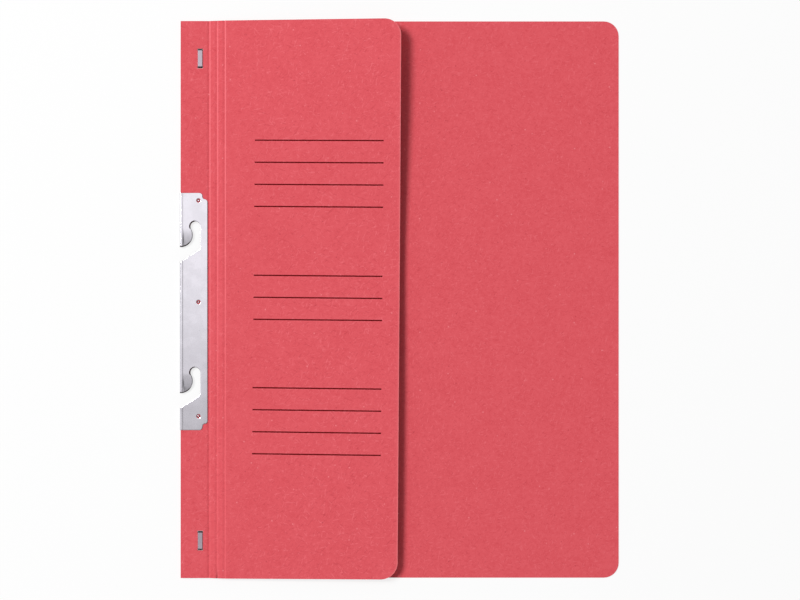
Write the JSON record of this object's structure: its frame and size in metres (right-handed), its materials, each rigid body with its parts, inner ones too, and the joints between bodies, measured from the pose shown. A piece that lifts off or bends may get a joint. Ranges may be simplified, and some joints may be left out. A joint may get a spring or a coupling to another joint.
{
  "type": "hook-in fastener folder",
  "caption": "Card folder with a half-width front cover, a folded steel spine rail with hook slots for binder rings, and a prong fastener with cover bar and locking sliders inside.",
  "frame": {"origin": "on the surface the closed folder lies on, under the middle of its box", "axes": "+X from the spine to the fore edge, +Y towards the head, +Z out of the front cover"},
  "size_m": [0.2404, 0.305, 0.0108],
  "materials": {
    "red_card": "uncoated mottled red card",
    "plated_steel": "bright zinc-plated sheet",
    "wire_steel": "bright flat stitching wire",
    "fastener_steel": "tin-plated strip"
  },
  "bodies": {
    "folder": {"back_cover": "red_card", "filing_strip": "red_card", "front_margin": "red_card", "hook_rail": "plated_steel", "upper_stitch": "wire_steel", "lower_stitch": "wire_steel", "tongue_strip": "fastener_steel", "cover_bar": "fastener_steel"},
    "front_cover": {"front_flap": "red_card"},
    "upper_tongue": {"upper_tongue": "fastener_steel"},
    "lower_tongue": {"lower_tongue": "fastener_steel"},
    "upper_slider": {"upper_slider": "fastener_steel"},
    "lower_slider": {"lower_slider": "fastener_steel"}
  },
  "joints": [
    {"name": "cover_fold", "type": "hinge", "parent": "folder", "child": "front_cover", "pos_m": [-0.09986, 0, 0.0024], "axis": [0, -1, 0], "range_deg": [0, 170]},
    {"name": "upper_tongue_bend", "type": "hinge", "parent": "folder", "child": "upper_tongue", "pos_m": [-0.08184, 0.03985, 0.00195], "axis": [-1, 0, 0], "range_deg": [0, 85]},
    {"name": "lower_tongue_bend", "type": "hinge", "parent": "folder", "child": "lower_tongue", "pos_m": [-0.08184, -0.03985, 0.00195], "axis": [1, 0, 0], "range_deg": [0, 85]},
    {"name": "upper_slider_lock", "type": "slide", "parent": "folder", "child": "upper_slider", "axis": [0, 1, 0], "range_m": [0, 0.0085]},
    {"name": "lower_slider_lock", "type": "slide", "parent": "folder", "child": "lower_slider", "axis": [0, -1, 0], "range_m": [0, 0.0085]}
  ],
  "couplings": [
    {"joint": "upper_tongue_bend", "follows": "cover_fold", "ratio": 0.5},
    {"joint": "lower_tongue_bend", "follows": "cover_fold", "ratio": 0.5}
  ]
}
